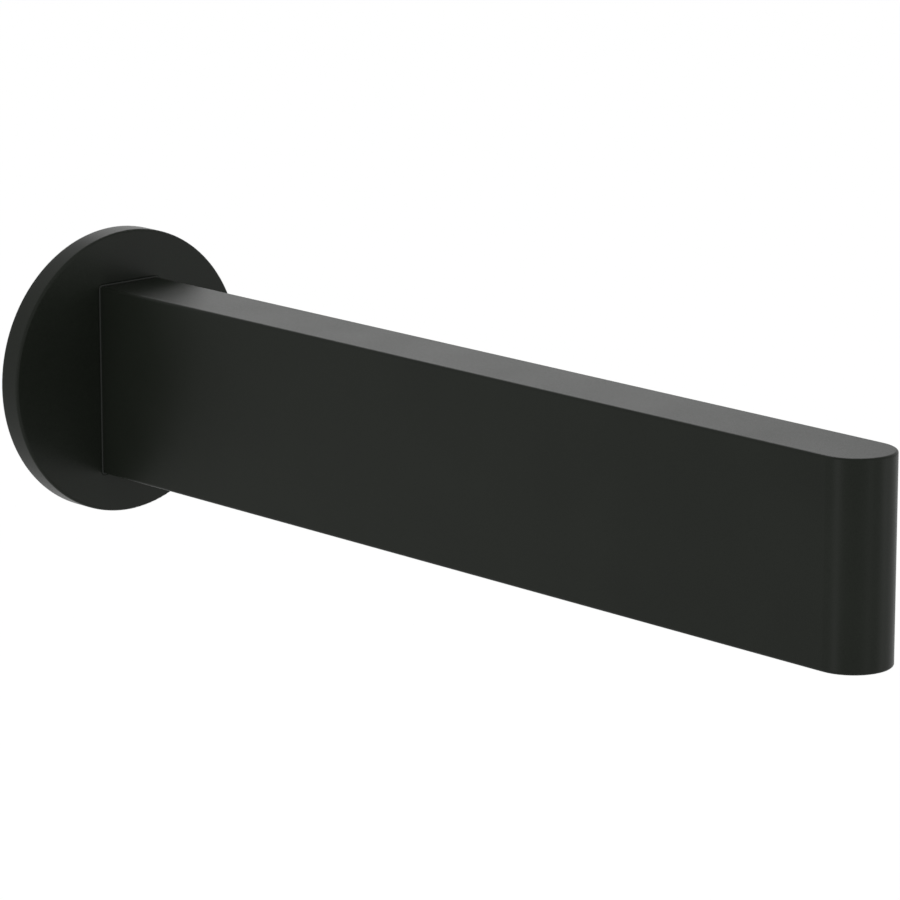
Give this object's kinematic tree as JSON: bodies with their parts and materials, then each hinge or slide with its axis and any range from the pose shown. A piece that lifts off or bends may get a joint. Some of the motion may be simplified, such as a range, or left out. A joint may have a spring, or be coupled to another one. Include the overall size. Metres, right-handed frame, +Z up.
{
  "type": "wall-mounted bath spout",
  "caption": "Slim flat bath spout: a tall narrow bar with a half-round tip through a thin round wall rosette, matte black, with an oblong outlet underneath and a threaded inlet nipple.",
  "frame": {"origin": "centre of the rosette's back face, in the plane of the wall, where the inlet's axis meets it", "axes": "-Y out of the wall along the spout towards its tip, +Y into the wall along the inlet, +Z up, +X to the right of someone who faces the wall"},
  "size_m": [0.06, 0.2336, 0.06],
  "materials": {
    "black_coated_metal": "matte",
    "black_rubber": "matte",
    "black_plastic": "matte",
    "grey_plastic": "satin",
    "stainless_steel": "satin",
    "blackened_steel": "satin",
    "bare_brass": "satin"
  },
  "bodies": {
    "root": {"spout_body": "black_coated_metal", "wall_rosette": "black_coated_metal", "outlet_frame": "black_coated_metal", "rosette_lip_gasket": "black_rubber", "rosette_wall_seal": "black_rubber", "nipple_ring_inner": "black_rubber", "nipple_ring_outer": "black_rubber", "outlet_seal": "black_rubber", "grub_screw_plug": "black_plastic", "stream_housing": "black_plastic", "stream_straightener": "grey_plastic", "stream_distributor": "grey_plastic", "stream_screen_lower": "stainless_steel", "stream_screen_upper": "stainless_steel", "stream_strainer": "stainless_steel", "grub_screw": "stainless_steel", "frame_screw_front": "blackened_steel", "frame_screw_back": "blackened_steel", "inlet_nipple": "bare_brass"}
  },
  "joints": []
}
